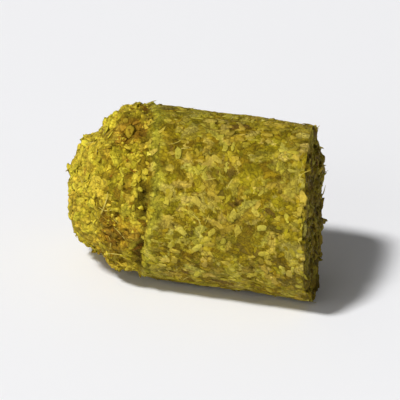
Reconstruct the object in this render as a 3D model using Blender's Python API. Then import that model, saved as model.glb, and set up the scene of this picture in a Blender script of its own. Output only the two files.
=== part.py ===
"""Hop pellet: milled hop cones pressed through a round die into one plug, lying on its side.

The plug lies along X. Its -X end is a blunt, slanting break and its +X end a nearly square snap.
The origin is under the middle of its box, on the surface that it lies on.
"""

import math

import bmesh
import bpy
from mathutils import Matrix, Vector, noise

MM = 0.001

# The plug. A 6 mm die gives a little over 6 mm once the pressed matter has swollen.
DIAMETER = 6.2 * MM
OVALNESS = 0.015
LENGTH = 8.6 * MM

# The broken end stands out as a blunt nose. Both ends slant: each rim lies furthest towards +X at its own turn.
NOSE_LENGTH = 3.1 * MM
NOSE_BLUNTNESS = 2.4
BREAK_SLANT = math.radians(14)
BREAK_SLANT_TURN = math.radians(63)

# The snapped end is a shallow dish.
SNAP_SLANT = math.radians(7)
SNAP_SLANT_TURN = math.radians(140)
SNAP_DISH = 0.15 * MM

# Where crumbs are missing: (share of the way over that surface, degrees of turn, size, depth).
BREAK_CHIPS = (
    (0.24, 30, 0.9 * MM, 0.14 * MM),
    (0.24, 98, 1.0 * MM, 0.16 * MM),
    (0.05, 160, 0.9 * MM, 0.18 * MM),
    (0.25, 222, 1.2 * MM, 0.28 * MM),
    (0.02, 292, 0.9 * MM, 0.18 * MM),
)
SNAP_CHIPS = (
    (1, 36, 0.5 * MM, 0.10 * MM),
    (1, 128, 0.7 * MM, 0.15 * MM),
    (1, 204, 0.6 * MM, 0.14 * MM),
    (0.95, 309, 0.9 * MM, 0.22 * MM),
)
WALL_SCALES = (
    (0.62, 40, 1.1 * MM, 0.09 * MM),
    (0.30, 236, 1.5 * MM, 0.12 * MM),
    (0.45, 318, 1.0 * MM, 0.09 * MM),
)

# The strip that it lies on was pressed flat by its own stack.
REST_HALF_WIDTH = 0.9 * MM

# How far the surface wanders in and out, and the size of the lumps.
WALL_WANDER = 0.05 * MM
WALL_LUMP = 1.7 * MM
BREAK_WANDER = 0.22 * MM
BREAK_LUMP = 1.1 * MM
SNAP_WANDER = 0.12 * MM
GRAIN_LUMP = 0.55 * MM
GRAIN_SHARE = 0.4

# Facets: columns round the plug, and rings over each end and along the wall.
COLUMNS = 72
SNAP_RINGS = 9
WALL_RINGS = 16
BREAK_RINGS = 14

RADIUS = DIAMETER / 2
SNAP_AT = LENGTH / 2
BREAK_AT = NOSE_LENGTH - LENGTH / 2


def clear_scene():
    for obj in list(bpy.data.objects):
        bpy.data.objects.remove(obj)


def across(turn, radius):
    """A point of the plug's cross-section. The turn starts at +Z and goes towards -Y."""
    return Vector((0, -radius * math.sin(turn) * (1 + OVALNESS), radius * math.cos(turn) * (1 - OVALNESS)))


def leans(spot, slant, slant_turn):
    """How far a slanting end lies from a square one at this spot, along +X."""
    return spot.dot(across(slant_turn, 1)) * math.tan(slant)


def on_snap(turn, share):
    """On the snapped end, from its middle (share 0) to its rim (share 1)."""
    spot = across(turn, RADIUS * share)
    spot.x = SNAP_AT + leans(spot, SNAP_SLANT, SNAP_SLANT_TURN) - SNAP_DISH * (1 - share**2)
    return spot


def on_wall(turn, share):
    """On the pressed wall, from the snapped end's rim (share 0) to the break's rim (share 1)."""
    return on_snap(turn, 1).lerp(on_break(turn, 0), share)


def on_break(turn, share):
    """On the nose, from its rim (share 0) to its tip (share 1)."""
    rise = math.sin(share * math.pi / 2) ** (2 / NOSE_BLUNTNESS)
    width = max(0, math.cos(share * math.pi / 2)) ** (2 / NOSE_BLUNTNESS)
    spot = across(turn, RADIUS * width)
    spot.x = BREAK_AT + leans(spot, BREAK_SLANT, BREAK_SLANT_TURN) - NOSE_LENGTH * rise
    return spot


def place_on_plug(ring, turn):
    """The point of a ring, counted from the middle of the snap to the tip of the nose."""
    if ring <= SNAP_RINGS:
        return on_snap(turn, ring / SNAP_RINGS)
    ring -= SNAP_RINGS
    if ring <= WALL_RINGS:
        return on_wall(turn, ring / WALL_RINGS)
    return on_break(turn, (ring - WALL_RINGS) / BREAK_RINGS)


def add_plug(collection):
    """A ball whose rings are spread over the plug: the snapped end, the wall and the nose."""
    bm = bmesh.new()
    rings = SNAP_RINGS + WALL_RINGS + BREAK_RINGS
    poles_on_x = Matrix.Rotation(math.pi / 2, 4, "Y")
    bmesh.ops.create_uvsphere(bm, u_segments=COLUMNS, v_segments=rings, radius=1, matrix=poles_on_x)
    for vertex in bm.verts:
        from_pole = math.acos(max(-1, min(1, vertex.co.x)))
        ring = round(from_pole / math.pi * rings)
        turn = math.atan2(-vertex.co.y, vertex.co.z)
        vertex.co = place_on_plug(ring, turn)
    mesh = bpy.data.meshes.new("pellet")
    bm.to_mesh(mesh)
    bm.free()
    plug = bpy.data.objects.new("pellet", mesh)
    collection.objects.link(plug)
    return plug


def inwards(spot):
    """The way to the middle of the plug from this spot."""
    return (Vector((spot.x * 0.35, 0, 0)) - spot).normalized()


def dent(mesh, centre, size, depth):
    """Presses the surface in round a point, most at the point."""
    move = inwards(centre) * depth
    for vertex in mesh.vertices:
        share = 1 - (vertex.co - centre).length / size
        if share > 0:
            vertex.co += move * share * share * (3 - 2 * share)


def knock_off_crumbs(plug):
    """The crumbs missing from both ends, and the shallow scales missing from the wall."""
    for surface, chips in ((on_break, BREAK_CHIPS), (on_snap, SNAP_CHIPS), (on_wall, WALL_SCALES)):
        for share, degrees, size, depth in chips:
            dent(plug.data, surface(math.radians(degrees), share), size, depth)


def roughen(plug):
    """Moves the surface in and out by smooth noise: little on the pressed wall, more on both ends."""
    mesh = plug.data
    ways = [vertex.normal.copy() for vertex in mesh.vertices]
    for vertex, way in zip(mesh.vertices, ways, strict=True):
        spot = vertex.co.copy()
        wall = WALL_WANDER * noise.noise(spot / WALL_LUMP)
        lumps = noise.noise(spot / BREAK_LUMP) + GRAIN_SHARE * noise.noise(spot / GRAIN_LUMP)
        from_axis = math.hypot(spot.y, spot.z) / RADIUS
        open_matter = min(1, max(0, (1 - from_axis) / 0.1))
        wander = BREAK_WANDER if spot.x < 0 else SNAP_WANDER
        vertex.co += way * (wall + open_matter * wander * lumps)


def press_flat_and_stand(plug):
    """Flattens the strip that it lies on, and moves the origin onto it, under the middle of the box."""
    mesh = plug.data
    rest_height = -math.sqrt(RADIUS**2 - REST_HALF_WIDTH**2) * (1 - OVALNESS)
    for vertex in mesh.vertices:
        vertex.co.z = max(vertex.co.z, rest_height)
    low = [min(v.co[axis] for v in mesh.vertices) for axis in range(3)]
    high = [max(v.co[axis] for v in mesh.vertices) for axis in range(3)]
    middle = Vector(((low[0] + high[0]) / 2, (low[1] + high[1]) / 2, rest_height))
    mesh.transform(Matrix.Translation(-middle))


def pressed_hop_matter():
    material = bpy.data.materials.new("pressed_hop_matter")
    material.use_nodes = True
    shader = material.node_tree.nodes["Principled BSDF"]
    shader.inputs["Base Color"].default_value = (0.30, 0.23, 0.022, 1)
    shader.inputs["Roughness"].default_value = 0.75
    shader.inputs["Metallic"].default_value = 0.0
    return material


def main():
    clear_scene()
    parts = bpy.data.collections.new("hop_pellet")
    bpy.context.scene.collection.children.link(parts)
    plug = add_plug(parts)
    knock_off_crumbs(plug)
    roughen(plug)
    press_flat_and_stand(plug)
    plug.data.materials.append(pressed_hop_matter())
    plug.data.shade_smooth()


main()
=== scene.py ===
"""One hop pellet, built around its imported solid.

The pressed plug carries shards, torn flakes, crumbs, lupulin grains and fibres.
"""

import math
from functools import partial

import bmesh
import bpy
import numpy as np
from bpy.props import FloatProperty, FloatVectorProperty, IntProperty, PointerProperty
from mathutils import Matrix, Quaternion, Vector, noise
from mathutils.bvhtree import BVHTree
from mathutils.kdtree import KDTree


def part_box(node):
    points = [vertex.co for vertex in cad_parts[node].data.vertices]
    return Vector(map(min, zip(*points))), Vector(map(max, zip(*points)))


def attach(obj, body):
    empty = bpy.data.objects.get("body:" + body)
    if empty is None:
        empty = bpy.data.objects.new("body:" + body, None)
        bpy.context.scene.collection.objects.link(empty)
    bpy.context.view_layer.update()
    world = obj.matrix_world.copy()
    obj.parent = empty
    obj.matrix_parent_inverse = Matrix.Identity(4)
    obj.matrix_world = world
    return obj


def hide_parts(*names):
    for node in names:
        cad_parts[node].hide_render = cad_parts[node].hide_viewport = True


bl_info = {
    "name": "Hop pellet",
    "version": (1, 0, 0),
    "blender": (4, 5, 0),
    "location": "View3D > Sidebar > Hop pellet",
    "description": "A pressed hop pellet with its torn flakes, lupulin grains and fibres",
    "category": "Object",
}

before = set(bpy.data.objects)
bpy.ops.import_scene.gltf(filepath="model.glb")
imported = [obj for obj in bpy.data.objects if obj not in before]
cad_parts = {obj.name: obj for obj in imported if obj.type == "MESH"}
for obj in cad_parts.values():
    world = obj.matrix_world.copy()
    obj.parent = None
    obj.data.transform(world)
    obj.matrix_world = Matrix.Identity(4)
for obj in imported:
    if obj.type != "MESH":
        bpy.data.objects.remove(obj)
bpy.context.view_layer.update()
LOW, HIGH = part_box("pellet")
MM = 0.001
PER_MM2 = 1e6

# The box's sides give the plug's radius, and its top gives the axis. The plug is a little flattened.
RADIUS = (HIGH.y - LOW.y) / 2
HEIGHT_SHARE = 0.97
AXIS_HEIGHT = HIGH.z - RADIUS * HEIGHT_SHARE

# The nose that the broken end forms. A bluntness of 2 would be round.
NOSE_LENGTH = 3.1 * MM
NOSE_BLUNTNESS = 2.4
# The snapped end slants, so its face lies this far inside the box on average.
SNAP_INSIDE_BOX = 0.35 * MM
# Rays that feel for the solid start on the axis, no nearer to either tip than this.
CLEAR_OF_TIPS = 2.9 * MM

# The skin starts inside the solid, so that the tops of its flakes reach the solid's surface.
SKIN_INSET = 0.12 * MM
TORN_INSET = 0.02 * MM

# The break's rim is ragged and slants: it lies furthest back on the side that faces -Y.
BREAK_SLANT = math.radians(14)
BREAK_SLANT_TURN = math.radians(86)
RAGGEDNESS = 0.16 * MM

# The groove in front of the rim, and how far the rubbed rim stands proud.
GROOVE_AHEAD = 0.24 * MM
GROOVE_WIDTH = 0.17 * MM
GROOVE_DEPTH = 0.14 * MM
RIM_HEIGHT = 0.02 * MM

# Two shoulders worn off the nose: (back from the tip, across, up from the axis), reach.
WORN_DEPTH = 0.34 * MM
WORN_SHOULDERS = (
    ((0.75 * MM, RADIUS * 0.35, RADIUS * 0.72), 2.0 * MM),
    ((1.3 * MM, -RADIUS * 0.3, -RADIUS * 0.9), 2.2 * MM),
)

# Where the broken matter is weathered: (turn, how far back from the tip, size).
WEATHERED = (
    (math.radians(22), 2.35 * MM, 0.85 * MM),
    (math.radians(101), 2.5 * MM, 1.0 * MM),
    (math.radians(168), 1.6 * MM, 0.8 * MM),
    (math.radians(236), 2.3 * MM, 1.1 * MM),
    (math.radians(310), 2.0 * MM, 0.8 * MM),
)
WEATHERED_FROM_AXIS = RADIUS * 0.93

# Each copy's square in the map keeps this share clear at its edges.
MAP_MARGIN = 0.04

# How pale the wall's flakes are: one in twenty-five is brown, the others go evenly from dark to pale.
FLAKE_TONES = tuple(np.concatenate([[0.0], np.linspace(0.14, 0.9, 24)]))

# The paper lies flat to this radius, and then curves up.
PAPER_RADIUS = 0.36
PAPER_BEND = 0.2
PAPER_CURL = math.radians(50)
# No flake or fibre comes nearer to the paper than this.
FLOOR_GAP = 0.004 * MM

# The softboxes: the way to each from the pellet, its distance and width in metres, and its watts.
SOFTBOXES = (
    ("key_softbox", (-0.44, -0.63, 1.0), 2.0, 0.28, 39.0),
    ("fill_softbox", (-0.42, -1.01, 0.3), 0.5, 0.35, 0.78),
    ("back_softbox", (-0.38, 0.89, 0.8), 0.25, 0.2, 0.02),
)
# The room's own light, as a share of full white.
ROOM_LIGHT = 0.12

# The camera aims this far from the middle of the box.
AIM_OFFSET = Vector((0.2 * MM, 0, -0.2 * MM))


# ---------------------------------------------------------------- settings


def linear(hex_colour):
    """An sRGB hex colour as the linear RGBA that shaders take."""
    channels = [int(hex_colour[k : k + 2], 16) / 255 for k in (1, 3, 5)]
    return [c / 12.92 if c <= 0.04045 else ((c + 0.055) / 1.055) ** 2.4 for c in channels] + [1.0]


def colour_property(name, description, hex_colour):
    """A colour that a user may change."""
    colour = linear(hex_colour)
    return FloatVectorProperty(
        name=name, description=description, default=colour, size=4, min=0, max=1, subtype="COLOR"
    )


class HopPlugSettings(bpy.types.PropertyGroup):
    columns: IntProperty(name="Columns", description="Faces round the plug", default=430, min=32)
    rings: IntProperty(name="Rings", description="Faces from one end to the other", default=222, min=24)
    break_depth: FloatProperty(
        name="Break depth",
        description="How far the broken matter reaches back from the tip",
        default=2.88 * MM,
        unit="LENGTH",
    )
    ground_count: IntProperty(
        name="Ground leaf", description="Small bits between the flakes", default=7500
    )
    ground_length: FloatProperty(
        name="Ground leaf length", description="Of a middling bit", default=0.24 * MM, unit="LENGTH"
    )
    flake_count: IntProperty(
        name="Pressed flakes", description="Flakes that the wall shows", default=2600
    )
    flake_length: FloatProperty(
        name="Flake length", description="Of a middling pressed flake", default=0.74 * MM, unit="LENGTH"
    )
    crumb_count: IntProperty(
        name="Crumbs", description="Rounded crumbs of both torn ends", default=3000
    )
    crumb_length: FloatProperty(
        name="Crumb length", description="Of a middling crumb", default=0.46 * MM, unit="LENGTH"
    )
    wall_lift: FloatProperty(
        name="Wall lift",
        description="How far a flake stands out of the wall",
        default=0.055 * MM,
        unit="LENGTH",
    )
    break_lift: FloatProperty(
        name="Break lift",
        description="How far a crumb stands out of a torn end",
        default=0.19 * MM,
        unit="LENGTH",
    )
    pit_count: IntProperty(name="Pits", description="Small holes where a crumb fell out", default=170)


class HopScatterSettings(bpy.types.PropertyGroup):
    shards: FloatProperty(name="Shards per mm2", description="Bract pressed into the wall", default=12)
    flakes: FloatProperty(name="Flakes per mm2", description="Torn flakes on the ends", default=9)
    flake_tilt: FloatProperty(
        name="Flake tilt",
        description="Furthest that a torn flake leans",
        default=math.radians(26),
        subtype="ANGLE",
    )
    crumbs: FloatProperty(name="Crumbs per mm2", description="Loose crumbs on the ends", default=11)
    lupulin: FloatProperty(name="Lupulin per mm2", description="Resin grains on the ends", default=15)
    fibres: FloatProperty(name="Fibres per mm2", description="Fibres on the whole pellet", default=0.9)


class HopColours(bpy.types.PropertyGroup):
    # This colour is painted shade, laid deep between the flakes and in the groove.
    hollow: colour_property("Hollow", "Deep between the flakes", "#3c2e04")
    dark: colour_property("Dark leaf", "Bract pressed flat, dark", "#735f06")
    olive: colour_property("Olive leaf", "Most of the pressed leaf", "#948213")
    pale: colour_property("Pale leaf", "The underside of a bract", "#ac9a35")
    straw: colour_property("Straw", "Strig and dry bract", "#beac51")
    brown: colour_property("Brown leaf", "Weathered bract", "#78631b")
    rim: colour_property("Rim", "The burnished edge of the wall", "#979127")
    torn_dark: colour_property("Torn, dark", "Broken matter, dark", "#79650a")
    torn: colour_property("Torn", "Most of the broken matter", "#a48e1b")
    torn_pale: colour_property("Torn, pale", "Broken matter, pale", "#c9b536")
    weathered: colour_property("Weathered", "Orange-brown patches in the break", "#8d6613")
    lupulin: colour_property("Lupulin", "Resin grains", "#c3ab20")


class HopStageSettings(bpy.types.PropertyGroup):
    azimuth: FloatProperty(
        name="Azimuth",
        description="Camera's way round the pellet, from -Y towards +X",
        default=math.radians(10.5),
        subtype="ANGLE",
    )
    elevation: FloatProperty(
        name="Elevation", description="Camera's height", default=math.radians(24), subtype="ANGLE"
    )
    roll: FloatProperty(
        name="Roll", description="Camera's lean to one side", default=math.radians(4), subtype="ANGLE"
    )
    lens: FloatProperty(name="Lens", description="Focal length in millimetres", default=470)
    distance: FloatProperty(
        name="Distance", description="Camera to pellet", default=180 * MM, unit="LENGTH"
    )


# ---------------------------------------------------------------- small helpers


def add_node(tree, kind, inputs=None, stops=(), **settings):
    """Adds a node with its settings.

    An input is given by name or number, as a value, a socket or a node, whose first output it takes.
    The stops are a colour ramp's places and colours.
    """
    node = tree.nodes.new(kind)
    for name, value in settings.items():
        setattr(node, name, value)
    for key, value in (inputs or {}).items():
        if isinstance(value, bpy.types.Node):
            value = next(socket for socket in value.outputs if socket.enabled)
        if isinstance(value, bpy.types.NodeSocket):
            tree.links.new(value, node.inputs[key])
        else:
            node.inputs[key].default_value = value
    for number, (place, colour) in enumerate(stops):
        elements = node.color_ramp.elements
        element = elements[number] if number < len(elements) else elements.new(place)
        element.position, element.color = place, colour
    return node


def new_material(name):
    """An empty material, and add_node for its tree."""
    material = bpy.data.materials.new(name)
    material.use_nodes = True
    material.node_tree.nodes.clear()
    return material, partial(add_node, material.node_tree)


def smoothstep(low, high, value):
    """From 0 at low to 1 at high, with no kink at either."""
    share = np.clip((value - low) / (high - low), 0, 1)
    return share * share * (3 - 2 * share)


def fractal(spots, size, octaves):
    """Smooth noise of this lump size at each point, from about -1 to 1."""
    return np.array([noise.fractal(spot, 1.0, 2.1, octaves) for spot in spots / size])


def object_from(name, data):
    """An object in the scene with this mesh, light or camera."""
    thing = bpy.data.objects.new(name, data)
    bpy.context.scene.collection.objects.link(thing)
    return thing


# ---------------------------------------------------------------- the plug


def plug_outline(rings):
    """X and radius of the rings, evenly spaced along the outline: nose, wall, snapped face."""
    turns = np.linspace(0, math.pi / 2, 40)
    nose_x = LOW.x + NOSE_LENGTH - NOSE_LENGTH * np.cos(turns) ** (2 / NOSE_BLUNTNESS)
    nose_r = RADIUS * np.sin(turns) ** (2 / NOSE_BLUNTNESS)
    square = HIGH.x - SNAP_INSIDE_BOX
    x = np.concatenate([nose_x, [square, square]])
    r = np.concatenate([nose_r, [RADIUS, 0]])
    run = np.concatenate([[0], np.cumsum(np.hypot(np.diff(x), np.diff(r)))])
    stops = np.linspace(0, run[-1], rings + 1)
    return np.interp(stops, run, x), np.interp(stops, run, r)


def cast_onto_solid(columns, rings):
    """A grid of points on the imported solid: its first and last rows are the two tips, repeated."""
    tree = BVHTree.FromObject(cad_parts["pellet"], bpy.context.evaluated_depsgraph_get())
    outline_x, outline_r = plug_outline(rings)
    first_start, last_start = LOW.x + CLEAR_OF_TIPS, HIGH.x - CLEAR_OF_TIPS
    turns = np.linspace(0, 2 * math.pi, columns, endpoint=False)
    grid = np.empty((rings + 1, columns, 3))
    for ring in range(rings + 1):
        x, radius = outline_x[ring], outline_r[ring]
        start_x = min(max(x, first_start), last_start)
        start = Vector((start_x, 0, AXIS_HEIGHT))
        for column, turn in enumerate(turns):
            way = Vector((x - start_x, -radius * math.sin(turn), radius * math.cos(turn)))
            grid[ring, column] = tree.ray_cast(start, way.normalized())[0]
    return grid


def eased(grid, passes):
    """The grid with each point moved towards the middle of its neighbours. The tips stay."""
    for _ in range(passes):
        around = np.roll(grid, 1, axis=1) + np.roll(grid, -1, axis=1)
        along = grid[:-2] + grid[2:]
        inner = (around[1:-1] + along) / 4
        grid = np.concatenate([grid[:1], 0.4 * grid[1:-1] + 0.6 * inner, grid[-1:]])
    return grid


def grid_normals(grid):
    """The way out of the surface at each point of the grid."""
    round_way = np.roll(grid, -1, axis=1) - np.roll(grid, 1, axis=1)
    along = np.gradient(grid, axis=0)
    normal = np.cross(round_way, along)
    length = np.linalg.norm(normal, axis=2, keepdims=True)
    normal = normal / np.maximum(length, 1e-15)
    normal[0], normal[-1] = (-1, 0, 0), (1, 0, 0)
    return normal


def regions(spots, normals):
    """Where the matter is broken, snapped, rubbed, weathered and so on, each from 0 to 1."""
    x, y, z = spots[:, 0] - LOW.x, spots[:, 1], spots[:, 2] - AXIS_HEIGHT
    on_right = spots[:, 0] > 0
    lean = (-y * math.sin(BREAK_SLANT_TURN) + z * math.cos(BREAK_SLANT_TURN)) * math.tan(BREAK_SLANT)
    ragged = fractal(spots, 0.7 * MM, 3) * RAGGEDNESS
    behind = x - (bpy.context.scene.hop_plug.break_depth + lean) + ragged
    broken = 1 - smoothstep(-0.2 * MM, 0.0, behind)
    rim = smoothstep(-0.1 * MM, 0.1 * MM, behind)
    rim *= 1 - smoothstep(0.15 * MM, 0.55 * MM, behind + ragged)
    from_axis = np.hypot(y, z) / RADIUS
    snapped = smoothstep(0.6, 0.85, normals[:, 0]) * on_right
    snapped *= 1 - smoothstep(0.86, 0.95, from_axis)
    weathered = np.zeros(len(spots))
    spotty = 0.25 * fractal(spots, 0.4 * MM, 2)
    for turn, back, size in WEATHERED:
        out = WEATHERED_FROM_AXIS
        middle = np.array((back, -out * math.sin(turn), out * math.cos(turn)))
        away = np.linalg.norm(np.column_stack([x, y, z]) - middle, axis=1) / size
        weathered = np.maximum(weathered, 1 - smoothstep(0.45, 1.0, away + spotty))
    open_groove = smoothstep(-0.35, 0.25, fractal(spots + 5, 1.3 * MM, 2))
    groove = np.exp(-(((behind + GROOVE_AHEAD) / GROOVE_WIDTH) ** 2)) * (0.35 + 0.65 * open_groove)
    # The snapped end's edge is bare: nothing lies across it.
    turned_in = smoothstep(0.2, 0.5, normals[:, 0]) * on_right
    inner = 1 - smoothstep(0.72, 0.84, from_axis)
    loose = np.maximum(broken * (1 - 0.85 * groove), 0.4 * snapped * inner)
    return {
        "torn": np.maximum(broken, 0.75 * snapped),
        "snapped": snapped,
        "loose": loose,
        "resinous": loose * smoothstep(-0.1, 0.5, fractal(spots + 6, 0.7 * MM, 2)),
        "pressed": (1 - broken) * (1 - turned_in) * (1 - 0.6 * rim),
        "laid": 1 - turned_in * (1 - inner),
        "rim": rim * (1 - broken),
        "groove": groove,
        "weathered": weathered * broken,
        "core": broken * (1 - smoothstep(0.9 * MM, 2.2 * MM, x + 2 * ragged)),
    }


def groove_and_wear(spots, where):
    """How far the surface lies back in the groove and on the worn shoulders. The rim stands proud."""
    back = GROOVE_DEPTH * where["groove"] - RIM_HEIGHT * where["rim"]
    for (along, across, up), reach in WORN_SHOULDERS:
        away = np.linalg.norm(spots - (LOW.x + along, across, AXIS_HEIGHT + up), axis=1)
        back += WORN_DEPTH * (1 - smoothstep(0, reach, away))
    return back


class Relief:
    """Heights, tones and flake directions at the plug's points, built up flake by flake."""

    def __init__(self, spots, normals):
        self.spots, self.normals = spots, normals
        self.height = np.zeros(len(spots))
        self.tone = np.full(len(spots), 0.35)
        self.hue = np.full(len(spots), 0.5)
        self.ragged = fractal(spots + 4, 0.2 * MM, 3)
        self.grain = np.zeros((len(spots), 2))
        self.tree = KDTree(len(spots))
        for number, spot in enumerate(spots):
            self.tree.insert(spot, number)
        self.tree.balance()

    def near(self, centre, reach):
        """The numbers of the points this near."""
        return np.array([number for _, number, _ in self.tree.find_range(centre, reach)])

    def press_flake(self, rng, at, half_length, half_width, lift, tilt, crown, tone):
        """One flake or crumb with a many-sided edge. Where they overlap, the highest one shows.

        A crown of 0 gives a flat flake and a crown of 1 a rounded crumb.
        """
        centre, normal = self.spots[at], self.normals[at]
        ahead = np.cross(normal, rng.normal(size=3) + (0.5, 0, 0))
        ahead /= np.linalg.norm(ahead)
        aside = np.cross(normal, ahead)
        found = self.near(centre, half_length * 1.15)
        offset = self.spots[found] - centre
        u, v = offset @ ahead / half_length, offset @ aside / half_width
        v = v - rng.uniform(-0.9, 0.9) * (1 - crown) * (u * u - 0.3)
        sides = rng.integers(4, 7)
        turns = (np.arange(sides) + rng.uniform(-0.3, 0.3, sides)) * 2 * math.pi / sides
        reaches = rng.uniform(0.7, 1.05, sides)
        reach = ((u[:, None] * np.cos(turns) + v[:, None] * np.sin(turns)) / reaches).max(axis=1)
        reach += 0.1 * self.ragged[found]
        edge = smoothstep(0, 0.3, 1 - reach)
        dome = np.sqrt(np.clip(1 - reach * np.abs(reach), 0, 1))
        flat = (1 - crown) * edge * (0.7 + 0.3 * (1 - v * v))
        height = lift * (flat + crown * dome) + tilt * u * edge
        shown = (reach < 1) & (height > self.height[found]) & (np.abs(offset @ normal) < half_length)
        found = found[shown]
        self.height[found] = height[shown]
        self.tone[found] = tone
        self.hue[found] = rng.uniform()
        self.grain[found, 0] = (u * half_length)[shown]
        self.grain[found, 1] = (v * half_width)[shown]

    def sink_pit(self, at, radius, depth):
        """A round hole, a little deeper in pale matter."""
        found = self.near(self.spots[at], radius)
        away = np.linalg.norm(self.spots[found] - self.spots[at], axis=1) / radius
        self.height[found] -= depth * (1 - away**2) * (0.7 + 0.6 * self.tone[found])


def build_relief(spots, normals, where, shares):
    """The ground leaf, flakes, crumbs and pits of the whole plug."""
    settings = bpy.context.scene.hop_plug
    rng = np.random.default_rng(41)
    relief = Relief(spots, normals)
    torn, groove = where["torn"], where["groove"]
    calm = 1 - 0.5 * where["rim"]

    def spread(count, weight):
        weight = weight * shares
        return rng.choice(len(spots), count, p=weight / weight.sum())

    for at in spread(settings.ground_count, 1 - 0.7 * torn):
        size = settings.ground_length * rng.lognormal(0, 0.3)
        lift = settings.wall_lift * rng.uniform(0.05, 0.5) * calm[at]
        slim, tone = rng.uniform(0.45, 0.9), rng.uniform(0.12, 0.5)
        relief.press_flake(rng, at, size / 2, size / 2 * slim, lift, 0, 0.4, tone)
    for at in spread(settings.flake_count, 1 - 0.8 * torn):
        size = settings.flake_length * rng.lognormal(0, 0.42) * (1 - 0.35 * torn[at])
        lift = settings.wall_lift * rng.uniform(0.3, 1) * calm[at]
        tilt = settings.wall_lift * rng.uniform(-0.5, 0.5) * calm[at]
        slim, tone = rng.uniform(0.28, 0.55), rng.choice(FLAKE_TONES)
        relief.press_flake(rng, at, size / 2, size / 2 * slim, lift, tilt, 0.25, tone)
    for at in spread(settings.crumb_count, torn):
        size = settings.crumb_length * rng.lognormal(0, 0.36)
        lift = settings.break_lift * rng.uniform(0.25, 1) * min(1, size / settings.crumb_length)
        tilt = lift * rng.uniform(-0.6, 0.6)
        slim, crown = rng.uniform(0.5, 0.95), rng.choice((0.15, 0.6, 1.0))
        lift *= 1 - groove[at]
        relief.press_flake(rng, at, size / 2, size / 2 * slim, lift, tilt, crown, rng.uniform())
    for at in spread(settings.pit_count, 1 + 0.6 * torn):
        radius = rng.uniform(0.05, 0.12) * MM * (1 + 0.5 * torn[at])
        relief.sink_pit(at, radius, radius * rng.uniform(0.3, 0.8))
    return relief


def flat_list(grid):
    """The grid's rings as one list of points, with the two tips last."""
    return np.concatenate([grid[1:-1].reshape(-1, 3), grid[0, :1], grid[-1, :1]])


def plug_mesh(grid):
    """Quads between the rings and fans at both tips, with a map that unrolls the plug."""
    rings, columns = grid.shape[0] - 1, grid.shape[1]
    spots = flat_list(grid)
    first_tip, last_tip = len(spots) - 2, len(spots) - 1
    faces, map_spots = [], []
    for column in range(columns):
        following = (column + 1) % columns
        left, right = column / columns, (column + 1) / columns
        faces.append((first_tip, following, column))
        map_spots += [((left + right) / 2, 0), (right, 1 / rings), (left, 1 / rings)]
        for ring in range(rings - 2):
            low, high = ring * columns, (ring + 1) * columns
            faces.append((low + column, low + following, high + following, high + column))
            v, w = (ring + 1) / rings, (ring + 2) / rings
            map_spots += [(left, v), (right, v), (right, w), (left, w)]
        low, v = (rings - 2) * columns, (rings - 1) / rings
        faces.append((low + column, low + following, last_tip))
        map_spots += [(left, v), (right, v), ((left + right) / 2, 1)]
    mesh = bpy.data.meshes.new("pressed_plug")
    mesh.from_pydata(spots.tolist(), [], faces)
    layer = mesh.uv_layers.new(name="OFBake")
    layer.data.foreach_set("uv", np.array(map_spots, np.float32).ravel())
    return mesh


def keep_attribute(mesh, name, values):
    """Stores one number, or three, at each point of the mesh."""
    kind, field = ("FLOAT", "value") if values.ndim == 1 else ("FLOAT_VECTOR", "vector")
    attribute = mesh.attributes.new(name, kind, "POINT")
    attribute.data.foreach_set(field, values.astype(np.float32).ravel())


def blurred(values, columns, passes):
    """A value at the grid's inner points, averaged with its neighbours."""
    sheet = values[:-2].reshape(-1, columns)
    for _ in range(passes):
        sheet = (sheet + np.roll(sheet, 1, 1) + np.roll(sheet, -1, 1)) / 3
        sheet[1:-1] = (sheet[:-2] + sheet[1:-1] + sheet[2:]) / 3
    return np.concatenate([sheet.ravel(), [sheet[0].mean(), sheet[-1].mean()]])


class HOP_OT_press_plug(bpy.types.Operator):
    """Press the plug: the whole pellet, with its flakes, pits and torn ends"""

    bl_idname = "hop.press_plug"
    bl_label = "Press the plug"

    def execute(self, context):
        settings = context.scene.hop_plug
        grid = eased(cast_onto_solid(settings.columns, settings.rings), 3)
        normals = flat_list(grid_normals(grid))
        spots = flat_list(grid)
        where = regions(spots, normals)
        torn = where["torn"]
        mesh = plug_mesh(grid)
        relief = build_relief(spots, normals, where, point_areas(mesh))
        lumps = fractal(spots, 0.8 * MM, 2) * 0.10 * MM + fractal(spots + 1, 0.3 * MM, 2) * 0.05 * MM
        grain = fractal(spots + 2, 0.12 * MM, 2) * (0.009 + 0.016 * torn) * MM
        swell = fractal(spots + 3, 0.9 * MM, 2) * 0.02 * MM * (1 - torn)
        height = relief.height + torn * lumps + grain + swell
        height -= SKIN_INSET + TORN_INSET * torn
        height -= groove_and_wear(spots, where)
        moved = spots + normals * height[:, None]
        moved[:, 2] = np.maximum(moved[:, 2], 0)
        mesh.vertices.foreach_set("co", moved.ravel())
        # Points that lie below the middle of their neighbours get painted shade, and points that stand
        # above it a painted highlight.
        low_ground = (blurred(height, settings.columns, 5) - height) / (0.04 + 0.07 * torn) / MM
        keep_attribute(mesh, "hollow", np.clip(low_ground, 0, 1))
        keep_attribute(mesh, "proud", np.clip(-low_ground, 0, 1))
        keep_attribute(mesh, "flake", np.column_stack([relief.grain / MM, relief.tone]))
        keep_attribute(mesh, "hue", relief.hue)
        for name, values in where.items():
            keep_attribute(mesh, name, values)
        mesh.validate()
        mesh.update()
        mesh.shade_smooth()
        mesh.materials.append(pressed_hop_cone())
        plug = object_from("pressed_plug", mesh)
        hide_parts("pellet")
        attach(plug, "root")
        return {"FINISHED"}


def point_areas(mesh):
    """Each point's share of the surface, so that what is scattered by it is even."""
    areas = np.zeros(len(mesh.vertices))
    sizes = np.zeros(len(mesh.polygons))
    mesh.polygons.foreach_get("area", sizes)
    for face, size in zip(mesh.polygons, sizes, strict=True):
        for corner in face.vertices:
            areas[corner] += size
    return areas / areas.sum()


# ---------------------------------------------------------------- what is scattered on it


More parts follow.
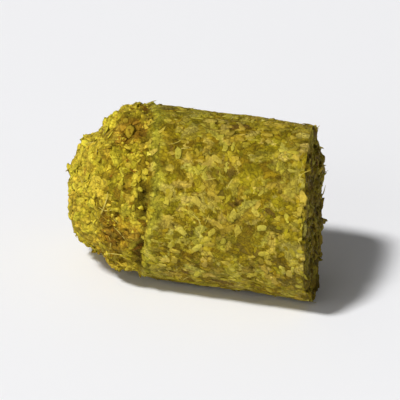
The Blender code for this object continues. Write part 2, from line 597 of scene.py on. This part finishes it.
def flake_shape(rng, number):
    """A thick, slightly curled bit of bract with a many-sided edge. About 0.45 mm long."""
    bm = bmesh.new()
    edge_points = 9
    length, width = 0.23 * MM * rng.uniform(0.85, 1.2), 0.23 * MM * rng.uniform(0.45, 0.8)
    thick = 0.026 * MM
    curl, twist = rng.uniform(0.5, 1.6) * MM, rng.uniform(-0.25, 0.25)
    phases = rng.uniform(0, 2 * math.pi, 2)

    def spot(turn, share, side):
        wave = 1 + 0.16 * math.sin(2 * turn + phases[0]) + 0.12 * math.sin(3 * turn + phases[1])
        reach = share * wave
        x, y = length * reach * math.cos(turn), width * reach * math.sin(turn)
        bow = (x * x + 0.6 * y * y) / curl * 0.5
        return x, y, side * thick * (1 - share**2) - bow + twist * x * y / (0.4 * MM)

    turns = [(k + rng.uniform(-0.3, 0.3)) * 2 * math.pi / edge_points for k in range(edge_points)]
    rim = [bm.verts.new(spot(turn, 1, 1)) for turn in turns]
    middle = [bm.verts.new(spot(turn, 0.6, 1)) for turn in turns]
    top, under = bm.verts.new(spot(0, 0, 1.1)), bm.verts.new(spot(0, 0, -1))
    close_flake(bm, rim, middle, top, under, 1.6 * MM)
    return shape_object(f"flake_shape_{number}", bm)


def shard_shape(rng, number):
    """A thin shard of bract with a ragged outline, pressed flat. About 0.5 mm long."""
    bm = bmesh.new()
    edge_points = 12
    length, width = 0.27 * MM * rng.uniform(0.8, 1.2), 0.27 * MM * rng.uniform(0.28, 0.6)
    thick, bow = 0.02 * MM, rng.uniform(-0.3, 0.3)
    reaches = rng.uniform(0.72, 1.08, edge_points)

    def spot(k, share, side):
        turn = k * 2 * math.pi / edge_points
        x = length * share * reaches[k] * math.cos(turn)
        y = width * share * reaches[k] * math.sin(turn) + bow * (x * x / length - 0.3 * length)
        return x, y, side * thick * (1 - share**3) - (x * x + y * y) / (2.2 * RADIUS)

    rim = [bm.verts.new(spot(k, 1, 0)) for k in range(edge_points)]
    middle = [bm.verts.new(spot(k, 0.8, 1)) for k in range(edge_points)]
    top, under = bm.verts.new(spot(0, 0, 1)), bm.verts.new(spot(0, 0, -1))
    close_flake(bm, rim, middle, top, under, 1.7 * MM)
    return shape_object(f"shard_shape_{number}", bm)


def close_flake(bm, rim, middle, top, under, map_width):
    """Faces from a flake's top over its rim to its underside, and a map with its two sides apart."""
    for k in range(len(rim)):
        after = (k + 1) % len(rim)
        bm.faces.new((top, middle[k], middle[after]))
        bm.faces.new((middle[k], rim[k], rim[after], middle[after]))
        bm.faces.new((under, rim[after], rim[k]))
    layer = bm.loops.layers.uv.new("OFBake")
    for face in bm.faces:
        below = under in face.verts
        for loop in face.loops:
            u = 0.25 + loop.vert.co.x / map_width
            loop[layer].uv = (u + 0.5 * below, 0.5 + loop.vert.co.y / MM)


def crumb_shape(rng, number):
    """A crumb of milled cone: an angular, flattish lump. About 0.24 mm across."""
    bm = bmesh.new()
    bmesh.ops.create_icosphere(bm, subdivisions=2, radius=0.12 * MM, calc_uvs=False)
    cuts = [Vector(rng.normal(size=3)).normalized() for _ in range(9)]
    flat = rng.uniform(0.45, 0.8)
    for vertex in bm.verts:
        for cut in cuts:
            over = vertex.co.dot(cut) - 0.06 * MM
            if over > 0:
                vertex.co -= cut * over
        vertex.co.x *= 1.2
        vertex.co.z *= flat
    double_sided_map(bm, 0.34 * MM)
    return shape_object(f"crumb_shape_{number}", bm)


def double_sided_map(bm, width):
    """A map with the upper half of a lump on the left and the lower half on the right."""
    layer = bm.loops.layers.uv.new("OFBake")
    for face in bm.faces:
        below = face.calc_center_median().z < 0
        for loop in face.loops:
            u, v = loop.vert.co.x / width, loop.vert.co.y / width
            loop[layer].uv = (0.25 + 0.5 * below + 0.45 * u, 0.5 + 0.9 * v)


def grain_shape(rng, number):
    """A lupulin gland: a resin bead, dented as it dried. About 0.15 mm across."""
    bm = bmesh.new()
    bmesh.ops.create_icosphere(bm, subdivisions=2, radius=0.075 * MM, calc_uvs=False)
    offset = Vector(rng.uniform(0, 9, 3))
    for vertex in bm.verts:
        vertex.co *= 1 + 0.28 * noise.noise(vertex.co / (0.09 * MM) + offset)
        vertex.co.z *= 0.85
    double_sided_map(bm, 0.22 * MM)
    return shape_object(f"grain_shape_{number}", bm)


def fibre_shape(rng, number):
    """A bent, flattened fibre that tapers to both ends. About 0.8 mm long."""
    bm = bmesh.new()
    stops, sides = 9, 5
    length, thick = 0.8 * MM, 0.017 * MM
    bend, sway = rng.uniform(-0.1, 0.1) * MM, rng.uniform(0.01, 0.04) * MM
    rows = []
    for stop in range(stops):
        share = stop / (stops - 1)
        swell = max(0.12, math.sin(math.pi * (0.08 + 0.84 * share))) * thick
        x = (share - 0.5) * length
        y = bend * (1 - (2 * share - 1) ** 2) + sway * math.sin(5 * share + number)
        z = -0.02 * MM * (2 * share - 1) ** 2
        row = []
        for side in range(sides):
            turn = side * 2 * math.pi / sides
            out, up = 1.5 * swell * math.cos(turn), 0.8 * swell * math.sin(turn)
            row.append(bm.verts.new((x, y + out, z + up)))
        rows.append(row)
    for low, high in zip(rows, rows[1:]):
        for side in range(sides):
            after = (side + 1) % sides
            bm.faces.new((low[side], low[after], high[after], high[side]))
    bm.faces.new(reversed(rows[0]))
    bm.faces.new(rows[-1])
    bmesh.ops.recalc_face_normals(bm, faces=bm.faces[:])
    layer = bm.loops.layers.uv.new("OFBake")
    for face in bm.faces:
        middle = face.calc_center_median()
        for loop in face.loops:
            turn = math.atan2(loop.vert.co.z, loop.vert.co.y - middle.y)
            loop[layer].uv = (0.5 + loop.vert.co.x / (0.9 * MM), 0.5 + turn / 7)
    return shape_object(f"fibre_shape_{number}", bm)


def shape_object(name, bm):
    """A shape to be copied. It isn't in the scene itself."""
    mesh = bpy.data.meshes.new(name)
    bm.to_mesh(mesh)
    bm.free()
    mesh.shade_smooth()
    return bpy.data.objects.new(name, mesh)


def scatter_tree():
    """Copies of the shapes on a surface, turned to face out of it and leaning, as one mesh."""
    tree = bpy.data.node_groups.new("scatter_on_pellet", "GeometryNodeTree")
    add = partial(add_node, tree)
    face = tree.interface
    face.new_socket("Geometry", in_out="OUTPUT", socket_type="NodeSocketGeometry")
    for name, kind in (
        ("Geometry", "NodeSocketGeometry"),
        ("Shapes", "NodeSocketCollection"),
        ("Where", "NodeSocketString"),
        ("Per square metre", "NodeSocketFloat"),
        ("Smallest", "NodeSocketFloat"),
        ("Largest", "NodeSocketFloat"),
        ("Lean", "NodeSocketFloat"),
        ("Sink", "NodeSocketFloat"),
        ("Palest tone", "NodeSocketFloat"),
        ("Seed", "NodeSocketInt"),
        ("Material", "NodeSocketMaterial"),
    ):
        face.new_socket(name, in_out="INPUT", socket_type=kind)
    given = add("NodeGroupInput").outputs
    weight = add("GeometryNodeInputNamedAttribute", {"Name": given["Where"]}, data_type="FLOAT")
    density = add("ShaderNodeMath", {0: weight, 1: given["Per square metre"]}, operation="MULTIPLY")
    points = add(
        "GeometryNodeDistributePointsOnFaces",
        {"Mesh": given["Geometry"], "Density": density, "Seed": given["Seed"]},
        distribute_method="RANDOM",
    )
    flat_lean = add("ShaderNodeMath", {0: given["Lean"], 1: -1.0}, operation="MULTIPLY")
    least = add("ShaderNodeCombineXYZ", {"X": flat_lean, "Y": flat_lean})
    most = add("ShaderNodeCombineXYZ", {"X": given["Lean"], "Y": given["Lean"], "Z": 2 * math.pi})
    spin = add(
        "FunctionNodeRandomValue", {0: least, 1: most, "Seed": given["Seed"]}, data_type="FLOAT_VECTOR"
    )
    turned = add(
        "FunctionNodeRotateRotation",
        {"Rotation": points.outputs["Rotation"], "Rotate By": spin},
        rotation_space="LOCAL",
    )
    size = add(
        "FunctionNodeRandomValue",
        {2: given["Smallest"], 3: given["Largest"], "Seed": given["Seed"]},
        data_type="FLOAT",
    )
    shapes = add(
        "GeometryNodeCollectionInfo",
        {"Collection": given["Shapes"], "Separate Children": True, "Reset Children": True},
    )
    copies = add(
        "GeometryNodeInstanceOnPoints",
        {
            "Points": points.outputs["Points"],
            "Instance": shapes,
            "Pick Instance": True,
            "Rotation": turned,
            "Scale": size.outputs[1],
        },
    )
    down = add("ShaderNodeMath", {0: given["Sink"], 1: -1.0}, operation="MULTIPLY")
    way = add("ShaderNodeCombineXYZ", {"Z": down})
    sunk = add("GeometryNodeTranslateInstances", {"Instances": copies, "Translation": way})
    tone = add(
        "FunctionNodeRandomValue",
        {2: 0.0, 3: given["Palest tone"], "Seed": given["Seed"]},
        data_type="FLOAT",
    )
    toned = add(
        "GeometryNodeStoreNamedAttribute",
        {"Geometry": sunk, "Name": "tone", "Value": tone.outputs[1]},
        data_type="FLOAT",
        domain="INSTANCE",
    )
    index = add("GeometryNodeInputIndex")
    numbered = add(
        "GeometryNodeStoreNamedAttribute",
        {"Geometry": toned, "Name": "copy_number", "Value": index},
        data_type="INT",
        domain="INSTANCE",
    )
    real = add("GeometryNodeRealizeInstances", {"Geometry": numbered})
    dressed = add("GeometryNodeSetMaterial", {"Geometry": real, "Material": given["Material"]})
    add("NodeGroupOutput", {0: dressed})
    return tree


def scatter(name, shapes, material, where, per_mm2, sizes, lean, sink, seed, palest=1.0):
    """Scatters the shapes over the plug, as a piece of its own that rides on the pellet.

    The sizes are the smallest and the largest, as shares of each shape's own.
    """
    collection = bpy.data.collections.new(f"{name}_shapes")
    for shape in shapes:
        collection.objects.link(shape)
    tree = bpy.data.node_groups.get("scatter_on_pellet") or scatter_tree()
    piece = object_from(name, bpy.data.objects["pressed_plug"].data.copy())
    modifier = piece.modifiers.new("scatter", "NODES")
    modifier.node_group = tree
    inputs = {
        "Shapes": collection,
        "Where": where,
        "Per square metre": per_mm2 * PER_MM2,
        "Smallest": sizes[0],
        "Largest": sizes[1],
        "Lean": lean,
        "Sink": sink,
        "Palest tone": palest,
        "Seed": seed,
        "Material": material,
    }
    for socket in tree.interface.items_tree:
        if socket.in_out == "INPUT" and socket.name in inputs:
            modifier[socket.identifier] = inputs[socket.name]
    graph = bpy.context.evaluated_depsgraph_get()
    mesh = bpy.data.meshes.new_from_object(piece.evaluated_get(graph))
    piece.modifiers.clear()
    piece.data = mesh
    if not mesh.polygons:
        raise RuntimeError(f"{name} came out empty")
    spread_map(mesh)
    keep_off_floor(mesh)
    for shape in shapes:
        bpy.data.objects.remove(shape)
    bpy.data.collections.remove(collection)
    mesh.shade_smooth()
    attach(piece, "root")


def spread_map(mesh):
    """Gives each copy a square of its own in the map."""
    numbers = np.zeros(len(mesh.vertices), np.int32)
    mesh.attributes["copy_number"].data.foreach_get("value", numbers)
    corners = np.zeros(len(mesh.loops), np.int32)
    mesh.loops.foreach_get("vertex_index", corners)
    layer = mesh.uv_layers["OFBake"]
    spots = np.zeros(len(mesh.loops) * 2, np.float32)
    layer.data.foreach_get("uv", spots)
    spots = spots.reshape(-1, 2)
    squares = math.ceil(math.sqrt(numbers.max() + 1))
    cell = np.column_stack([numbers[corners] % squares, numbers[corners] // squares])
    spots = (cell + MAP_MARGIN + (1 - 2 * MAP_MARGIN) * np.clip(spots, 0, 1)) / squares
    layer.data.foreach_set("uv", spots.astype(np.float32).ravel())
    mesh.attributes.remove(mesh.attributes["copy_number"])


def keep_off_floor(mesh):
    """Lifts every point that has gone through the surface that the pellet lies on."""
    spots = np.zeros(len(mesh.vertices) * 3, np.float32)
    mesh.vertices.foreach_get("co", spots)
    spots = spots.reshape(-1, 3)
    spots[:, 2] = np.maximum(spots[:, 2], FLOOR_GAP)
    mesh.vertices.foreach_set("co", spots.ravel())
    mesh.update()


class HOP_OT_press_flakes(bpy.types.Operator):
    """Press the shards of bract that lie flush in the wall"""

    bl_idname = "hop.press_flakes"
    bl_label = "Press the flakes"

    def execute(self, context):
        rng = np.random.default_rng(23)
        scatter(
            "pressed_shards",
            [shard_shape(rng, number) for number in range(9)],
            torn_bract(),
            where="pressed",
            per_mm2=context.scene.hop_scatter.shards,
            sizes=(0.22, 1.05),
            lean=math.radians(4),
            sink=0.007 * MM,
            seed=12,
            palest=0.82,
        )
        return {"FINISHED"}


class HOP_OT_tear_flakes(bpy.types.Operator):
    """Tear the flakes that stand out of both ends"""

    bl_idname = "hop.tear_flakes"
    bl_label = "Tear the flakes"

    def execute(self, context):
        rng = np.random.default_rng(7)
        scatter(
            "torn_flakes",
            [flake_shape(rng, number) for number in range(8)],
            torn_bract(),
            where="loose",
            per_mm2=context.scene.hop_scatter.flakes,
            sizes=(0.45, 1.1),
            lean=context.scene.hop_scatter.flake_tilt,
            sink=0.035 * MM,
            seed=3,
        )
        return {"FINISHED"}


class HOP_OT_scatter_crumbs(bpy.types.Operator):
    """Scatter the crumbs that hang in both torn ends"""

    bl_idname = "hop.scatter_crumbs"
    bl_label = "Scatter the crumbs"

    def execute(self, context):
        rng = np.random.default_rng(17)
        scatter(
            "torn_crumbs",
            [crumb_shape(rng, number) for number in range(6)],
            torn_bract(),
            where="loose",
            per_mm2=context.scene.hop_scatter.crumbs,
            sizes=(0.4, 1.25),
            lean=0.6,
            sink=0.03 * MM,
            seed=6,
        )
        return {"FINISHED"}


class HOP_OT_scatter_lupulin(bpy.types.Operator):
    """Scatter the lupulin grains that the break laid open"""

    bl_idname = "hop.scatter_lupulin"
    bl_label = "Scatter the lupulin"

    def execute(self, context):
        rng = np.random.default_rng(11)
        scatter(
            "lupulin_grains",
            [grain_shape(rng, number) for number in range(4)],
            lupulin_resin(),
            where="resinous",
            per_mm2=context.scene.hop_scatter.lupulin,
            sizes=(0.3, 0.85),
            lean=0.5,
            sink=0.02 * MM,
            seed=5,
        )
        return {"FINISHED"}


class HOP_OT_lay_fibres(bpy.types.Operator):
    """Lay the strig fibres pressed into the surface"""

    bl_idname = "hop.lay_fibres"
    bl_label = "Lay the fibres"

    def execute(self, context):
        rng = np.random.default_rng(13)
        scatter(
            "strig_fibres",
            [fibre_shape(rng, number) for number in range(5)],
            strig_fibre(),
            where="laid",
            per_mm2=context.scene.hop_scatter.fibres,
            sizes=(0.35, 1.0),
            lean=0.05,
            sink=0.0,
            seed=8,
        )
        return {"FINISHED"}


# ---------------------------------------------------------------- materials


def leaf_colour(add, tone):
    """The colour of a bit of leaf: olive and straw where it was pressed, yellow where it was torn."""
    colours = bpy.context.scene.hop_colours
    torn, core, weathered, hue, snapped = (
        add("ShaderNodeAttribute", attribute_name=name).outputs["Fac"]
        for name in ("torn", "core", "weathered", "hue", "snapped")
    )
    pressed = add(
        "ShaderNodeValToRGB",
        {"Fac": tone},
        stops=(
            (0.03, colours.brown),
            (0.1, colours.dark),
            (0.4, colours.olive),
            (0.75, colours.pale),
            (1.0, colours.straw),
        ),
    )
    opened = add(
        "ShaderNodeValToRGB",
        {"Fac": tone},
        stops=(
            (0.02, colours.weathered),
            (0.1, colours.torn_dark),
            (0.55, colours.torn),
            (0.95, colours.torn_pale),
        ),
    )
    colour = add("ShaderNodeMix", {0: torn, 6: pressed, 7: opened}, data_type="RGBA")
    for share, most, tint in ((core, 0.5, colours.torn_pale), (weathered, 0.72, colours.weathered)):
        amount = add("ShaderNodeMath", {0: share, 1: most}, operation="MULTIPLY")
        colour = add("ShaderNodeMix", {0: amount, 6: colour, 7: tint}, data_type="RGBA")
    # The flakes lie matted in curving strands, 0.3 mm wide, a little paler than what is between them.
    place = add("ShaderNodeTexCoord").outputs["Object"]
    strands = add(
        "ShaderNodeTexNoise",
        {"Vector": place, "Scale": 1 / (0.62 * MM), "Detail": 1, "Distortion": 1.6},
    )
    colour = shade(add, colour, strands, 0.3)
    turned = add("ShaderNodeMapRange", {"Value": hue, "To Min": 0.486, "To Max": 0.512})
    # The snapped face is darkened to about half: painted shade, for the shade that it lies in.
    snapped_painted_shade = add("ShaderNodeMapRange", {"Value": snapped, "To Min": 1.0, "To Max": 0.54})
    return add("ShaderNodeHueSaturation", {"Hue": turned, "Value": snapped_painted_shade, "Color": colour})


def shade(add, colour, factor, amount):
    """The colour made darker or lighter by a factor around a half, by up to the amount each way."""
    strength = add(
        "ShaderNodeMapRange",
        {
            "Value": factor,
            "From Min": 0.25,
            "From Max": 0.75,
            "To Min": 1 - amount,
            "To Max": 1 + amount,
        },
    )
    return add("ShaderNodeVectorMath", {0: colour, "Scale": strength}, operation="SCALE")


def pressed_hop_cone():
    """Milled hop cone, hot-pressed: matt, with a thin burnish of resin where the die rubbed it."""
    material, add = new_material("pressed_hop_cone")
    colours = bpy.context.scene.hop_colours
    flake = add("ShaderNodeAttribute", attribute_name="flake").outputs["Vector"]
    tone = add("ShaderNodeSeparateXYZ", {0: flake}).outputs["Z"]
    hollow, proud, rim, groove = (
        add("ShaderNodeAttribute", attribute_name=name).outputs["Fac"]
        for name in ("hollow", "proud", "rim", "groove")
    )
    place = add("ShaderNodeTexCoord").outputs["Object"]
    # Bract veins run along each flake, 0.05 mm apart.
    along = add("ShaderNodeMapping", {"Vector": flake, "Scale": (2.2, 18, 31)})
    veins = add("ShaderNodeTexNoise", {"Vector": along, "Scale": 1.0, "Detail": 2, "Roughness": 0.6})
    # Ground leaf between the flakes, in specks of 0.1 mm, and its finest dust, of 0.05 mm.
    specks = add(
        "ShaderNodeTexNoise",
        {"Vector": place, "Scale": 1 / (0.11 * MM), "Detail": 4, "Roughness": 0.65},
    )
    dust = add(
        "ShaderNodeTexNoise", {"Vector": place, "Scale": 1 / (0.05 * MM), "Detail": 3, "Roughness": 0.7}
    )
    # Patches of 1.5 mm where more of the leaf was weathered.
    patches = add("ShaderNodeTexNoise", {"Vector": place, "Scale": 1 / (1.5 * MM), "Detail": 2})
    # Milled particles of 0.15 mm, packed edge to edge.
    bend = add("ShaderNodeTexNoise", {"Vector": place, "Scale": 1 / (0.22 * MM), "Detail": 2})
    bent = add(
        "ShaderNodeVectorMath",
        {0: bend.outputs["Color"], 1: (0.16 * MM, 0.16 * MM, 0.16 * MM), 2: place},
        operation="MULTIPLY_ADD",
    )
    particles = add("ShaderNodeTexVoronoi", {"Vector": bent, "Scale": 1 / (0.15 * MM)})
    gaps = add(
        "ShaderNodeTexVoronoi", {"Vector": bent, "Scale": 1 / (0.15 * MM)}, feature="DISTANCE_TO_EDGE"
    )
    particle = add("ShaderNodeSeparateXYZ", {0: particles.outputs["Color"]})
    packed = add("ShaderNodeMapRange", {"Value": gaps, "From Max": 0.22})
    # Darker and paler ground, in patches of 0.7 mm.
    ground = add("ShaderNodeTexNoise", {"Vector": place, "Scale": 1 / (0.7 * MM), "Detail": 1})
    brownness = add(
        "ShaderNodeMapRange",
        {"Value": patches, "From Min": 0.54, "From Max": 0.72, "To Min": 0, "To Max": 0.4},
    )
    burnish = add("ShaderNodeMath", {0: rim, 1: 0.6}, operation="MULTIPLY")
    # Painted shade deep between the flakes, from the mask of low points.
    sunk = add("ShaderNodeMath", {0: hollow, 1: 0.7}, operation="MULTIPLY")
    # Painted shade in the groove, in the same dark colour.
    painted_groove_shade = add("ShaderNodeMath", {0: groove, 1: 0.5}, operation="MULTIPLY")
    colour = shade(add, leaf_colour(add, tone), veins, 0.16)
    colour = shade(add, colour, specks, 0.24)
    colour = shade(add, colour, ground, 0.2)
    colour = shade(add, colour, particle.outputs["X"], 0.16)
    # Painted shade: each particle is darker towards its edges, in the gaps that the bump also sinks.
    painted_gap_shade = add("ShaderNodeMapRange", {"Value": packed, "To Min": 0.72, "To Max": 1.03})
    colour = add("ShaderNodeVectorMath", {0: colour, "Scale": painted_gap_shade}, operation="SCALE")
    for blend, amount, tint in (
        ("MIX", brownness, colours.brown),
        ("COLOR", burnish, colours.rim),
        ("MIX", painted_groove_shade, colours.hollow),
        ("MIX", sunk, colours.hollow),
    ):
        settings = {"data_type": "RGBA", "blend_type": blend}
        colour = add("ShaderNodeMix", {0: amount, 6: colour, 7: tint}, **settings)
    rubbed = add("ShaderNodeMath", {0: rim, 1: 0.06, 2: 1.0}, operation="MULTIPLY_ADD")
    # Points that stand above their neighbours are made up to a quarter lighter: a painted highlight, on
    # top of the rim's own paler colour.
    rim_rub_and_painted_highlight = add("ShaderNodeMath", {0: proud, 1: 0.25, 2: rubbed}, operation="MULTIPLY_ADD")
    colour = add("ShaderNodeVectorMath", {0: colour, "Scale": rim_rub_and_painted_highlight}, operation="SCALE")
    rough = add(
        "ShaderNodeMapRange",
        {"Value": specks, "From Min": 0.3, "From Max": 0.7, "To Min": 0.62, "To Max": 0.9},
    )
    bumps = ((dust, 0.035), (veins, 0.02), (packed, 0.022), (specks, 0.05))
    normal = None
    for height, depth in bumps:
        inputs = {"Height": height, "Strength": 0.8, "Distance": depth * MM}
        normal = add("ShaderNodeBump", inputs | ({"Normal": normal} if normal else {}))
    shader = add(
        "ShaderNodeBsdfPrincipled",
        {"Base Color": colour, "Roughness": rough, "Normal": normal, "Specular IOR Level": 0.1},
    )
    add("ShaderNodeOutputMaterial", {"Surface": shader})
    return material


def torn_bract():
    """Bract torn across: dry, matt and pale, dusted with lupulin."""
    material, add = new_material("torn_bract")
    tone = add("ShaderNodeAttribute", attribute_name="tone").outputs["Fac"]
    place = add("ShaderNodeTexCoord").outputs["Object"]
    # The torn surface has a grain of 0.09 mm.
    specks = add(
        "ShaderNodeTexNoise",
        {"Vector": place, "Scale": 1 / (0.09 * MM), "Detail": 4, "Roughness": 0.65},
    )
    rough = add(
        "ShaderNodeMapRange",
        {"Value": specks, "From Min": 0.3, "From Max": 0.7, "To Min": 0.65, "To Max": 0.9},
    )
    bump = add("ShaderNodeBump", {"Height": specks, "Strength": 0.8, "Distance": 0.04 * MM})
    shader = add(
        "ShaderNodeBsdfPrincipled",
        {
            "Base Color": shade(add, leaf_colour(add, tone), specks, 0.34),
            "Roughness": rough,
            "Normal": bump,
            "Specular IOR Level": 0.1,
        },
    )
    add("ShaderNodeOutputMaterial", {"Surface": shader})
    return material


def lupulin_resin():
    """Lupulin: the hop's yellow resin glands, slightly sticky and the brightest thing on the pellet."""
    material, add = new_material("lupulin_resin")
    colours = bpy.context.scene.hop_colours
    tone = add("ShaderNodeAttribute", attribute_name="tone").outputs["Fac"]
    resin = add(
        "ShaderNodeValToRGB",
        {"Fac": tone},
        stops=((0.0, colours.torn), (0.5, colours.lupulin), (1.0, colours.torn_pale)),
    )
    place = add("ShaderNodeTexCoord").outputs["Object"]
    dust = add("ShaderNodeTexNoise", {"Vector": place, "Scale": 1 / (0.04 * MM), "Detail": 2})
    rough = add("ShaderNodeMapRange", {"Value": dust, "To Min": 0.4, "To Max": 0.7})
    snapped = add("ShaderNodeAttribute", attribute_name="snapped").outputs["Fac"]
    # The snapped face is darkened to about half: painted shade, for the shade that it lies in.
    snapped_painted_shade = add("ShaderNodeMapRange", {"Value": snapped, "To Min": 1.0, "To Max": 0.5})
    colour = add(
        "ShaderNodeVectorMath", {0: shade(add, resin, dust, 0.15), "Scale": snapped_painted_shade}, operation="SCALE"
    )
    shader = add(
        "ShaderNodeBsdfPrincipled",
        {"Base Color": colour, "Roughness": rough, "Specular IOR Level": 0.15},
    )
    add("ShaderNodeOutputMaterial", {"Surface": shader})
    return material


def strig_fibre():
    """Strig: the cone's stalk, milled to dry straw-coloured fibres."""
    material, add = new_material("strig_fibre")
    colours = bpy.context.scene.hop_colours
    tone = add("ShaderNodeAttribute", attribute_name="tone").outputs["Fac"]
    straw = add(
        "ShaderNodeValToRGB",
        {"Fac": tone},
        stops=((0.0, colours.olive), (0.5, colours.pale), (1.0, colours.straw)),
    )
    place = add("ShaderNodeTexCoord").outputs["Object"]
    streaks = add("ShaderNodeTexNoise", {"Vector": place, "Scale": 1 / (0.06 * MM), "Detail": 2})
    shader = add(
        "ShaderNodeBsdfPrincipled",
        {"Base Color": shade(add, straw, streaks, 0.2), "Roughness": 0.65, "Specular IOR Level": 0.12},
    )
    add("ShaderNodeOutputMaterial", {"Surface": shader})
    return material


# ---------------------------------------------------------------- stage


def studio_paper():
    """White studio paper: matt, with no grain that shows."""
    material, add = new_material("studio_paper")
    shader = add(
        "ShaderNodeBsdfPrincipled",
        {"Base Color": linear("#f2f2f4"), "Roughness": 0.9, "Specular IOR Level": 0.1},
    )
    add("ShaderNodeOutputMaterial", {"Surface": shader})
    return material


def paper_sweep():
    """A round sheet that lies flat round the pellet and curves up at its edge, like a shallow bowl."""
    columns, steps = 96, 12
    profile = [(0.95 * PAPER_RADIUS, 0)]
    for step in range(steps + 1):
        rise = step / steps * PAPER_CURL
        profile.append((PAPER_RADIUS + PAPER_BEND * math.sin(rise), PAPER_BEND * (1 - math.cos(rise))))
    turns = [k * 2 * math.pi / columns for k in range(columns)]
    spots = [(out * math.cos(turn), out * math.sin(turn), up) for out, up in profile for turn in turns]
    faces = [tuple(range(columns))]
    for low in range(0, len(spots) - columns, columns):
        for k in range(columns):
            after = (k + 1) % columns
            faces.append((low + k, low + columns + k, low + columns + after, low + after))
    mesh = bpy.data.meshes.new("paper")
    mesh.from_pydata(spots, [], faces)
    mesh.shade_smooth()
    mesh.materials.append(studio_paper())
    return mesh


def softbox(name, towards, distance, width, power):
    """A square softbox that faces the pellet from this direction."""
    light = bpy.data.lights.new(name, "AREA")
    light.size = width
    light.energy = power
    lamp = object_from(name, light)
    way = Vector(towards).normalized()
    lamp.location = Vector((0, 0, AXIS_HEIGHT)) + way * distance
    lamp.rotation_euler = way.to_track_quat("Z", "Y").to_euler()


def add_camera(settings):
    """The camera looks at the middle of the pellet from the way that the settings give."""
    camera = bpy.data.cameras.new("camera")
    camera.lens = settings.lens
    camera.clip_start = MM
    camera.clip_end = 5
    holder = object_from("camera", camera)
    a, e = settings.azimuth, settings.elevation
    back = Vector((math.sin(a) * math.cos(e), -math.cos(a) * math.cos(e), math.sin(e)))
    holder.location = (LOW + HIGH) / 2 + AIM_OFFSET + back * settings.distance
    turn = back.to_track_quat("Z", "Y")
    turn.rotate(Quaternion(back, settings.roll))
    holder.rotation_euler = turn.to_euler()
    bpy.context.scene.camera = holder


class HOP_OT_set_stage(bpy.types.Operator):
    """Set the stage: pale paper, three softboxes and the camera"""

    bl_idname = "hop.set_stage"
    bl_label = "Set the stage"

    def execute(self, context):
        object_from("paper", paper_sweep())
        for name, towards, distance, width, power in SOFTBOXES:
            softbox(name, towards, distance, width, power)
        world = bpy.data.worlds.new("studio")
        world.use_nodes = True
        room = world.node_tree.nodes["Background"].inputs
        room["Color"].default_value = (1, 1, 1, 1)
        room["Strength"].default_value = ROOM_LIGHT
        context.scene.world = world
        context.scene.view_settings.view_transform = "Standard"
        add_camera(context.scene.hop_stage)
        return {"FINISHED"}


# ---------------------------------------------------------------- panel and main


class HOP_PT_panel(bpy.types.Panel):
    """The pellet's pieces, in the order in which they are made"""

    bl_idname = "HOP_PT_panel"
    bl_label = "Hop pellet"
    bl_space_type = "VIEW_3D"
    bl_region_type = "UI"
    bl_category = "Hop pellet"

    def draw(self, context):
        for step in STEPS:
            self.layout.operator(step.bl_idname)


SETTINGS = {
    "hop_plug": HopPlugSettings,
    "hop_scatter": HopScatterSettings,
    "hop_colours": HopColours,
    "hop_stage": HopStageSettings,
}
STEPS = (
    HOP_OT_press_plug,
    HOP_OT_press_flakes,
    HOP_OT_tear_flakes,
    HOP_OT_scatter_crumbs,
    HOP_OT_scatter_lupulin,
    HOP_OT_lay_fibres,
    HOP_OT_set_stage,
)


def register():
    for cls in (*SETTINGS.values(), *STEPS, HOP_PT_panel):
        bpy.utils.register_class(cls)
    for name, cls in SETTINGS.items():
        setattr(bpy.types.Scene, name, PointerProperty(type=cls))


def unregister():
    for name in SETTINGS:
        delattr(bpy.types.Scene, name)
    for cls in (HOP_PT_panel, *reversed(STEPS), *SETTINGS.values()):
        bpy.utils.unregister_class(cls)


def main():
    register()
    bpy.ops.hop.press_plug()
    bpy.ops.hop.press_flakes()
    bpy.ops.hop.tear_flakes()
    bpy.ops.hop.scatter_crumbs()
    bpy.ops.hop.scatter_lupulin()
    bpy.ops.hop.lay_fibres()
    bpy.ops.hop.set_stage()


if __name__ == "__main__":
    main()
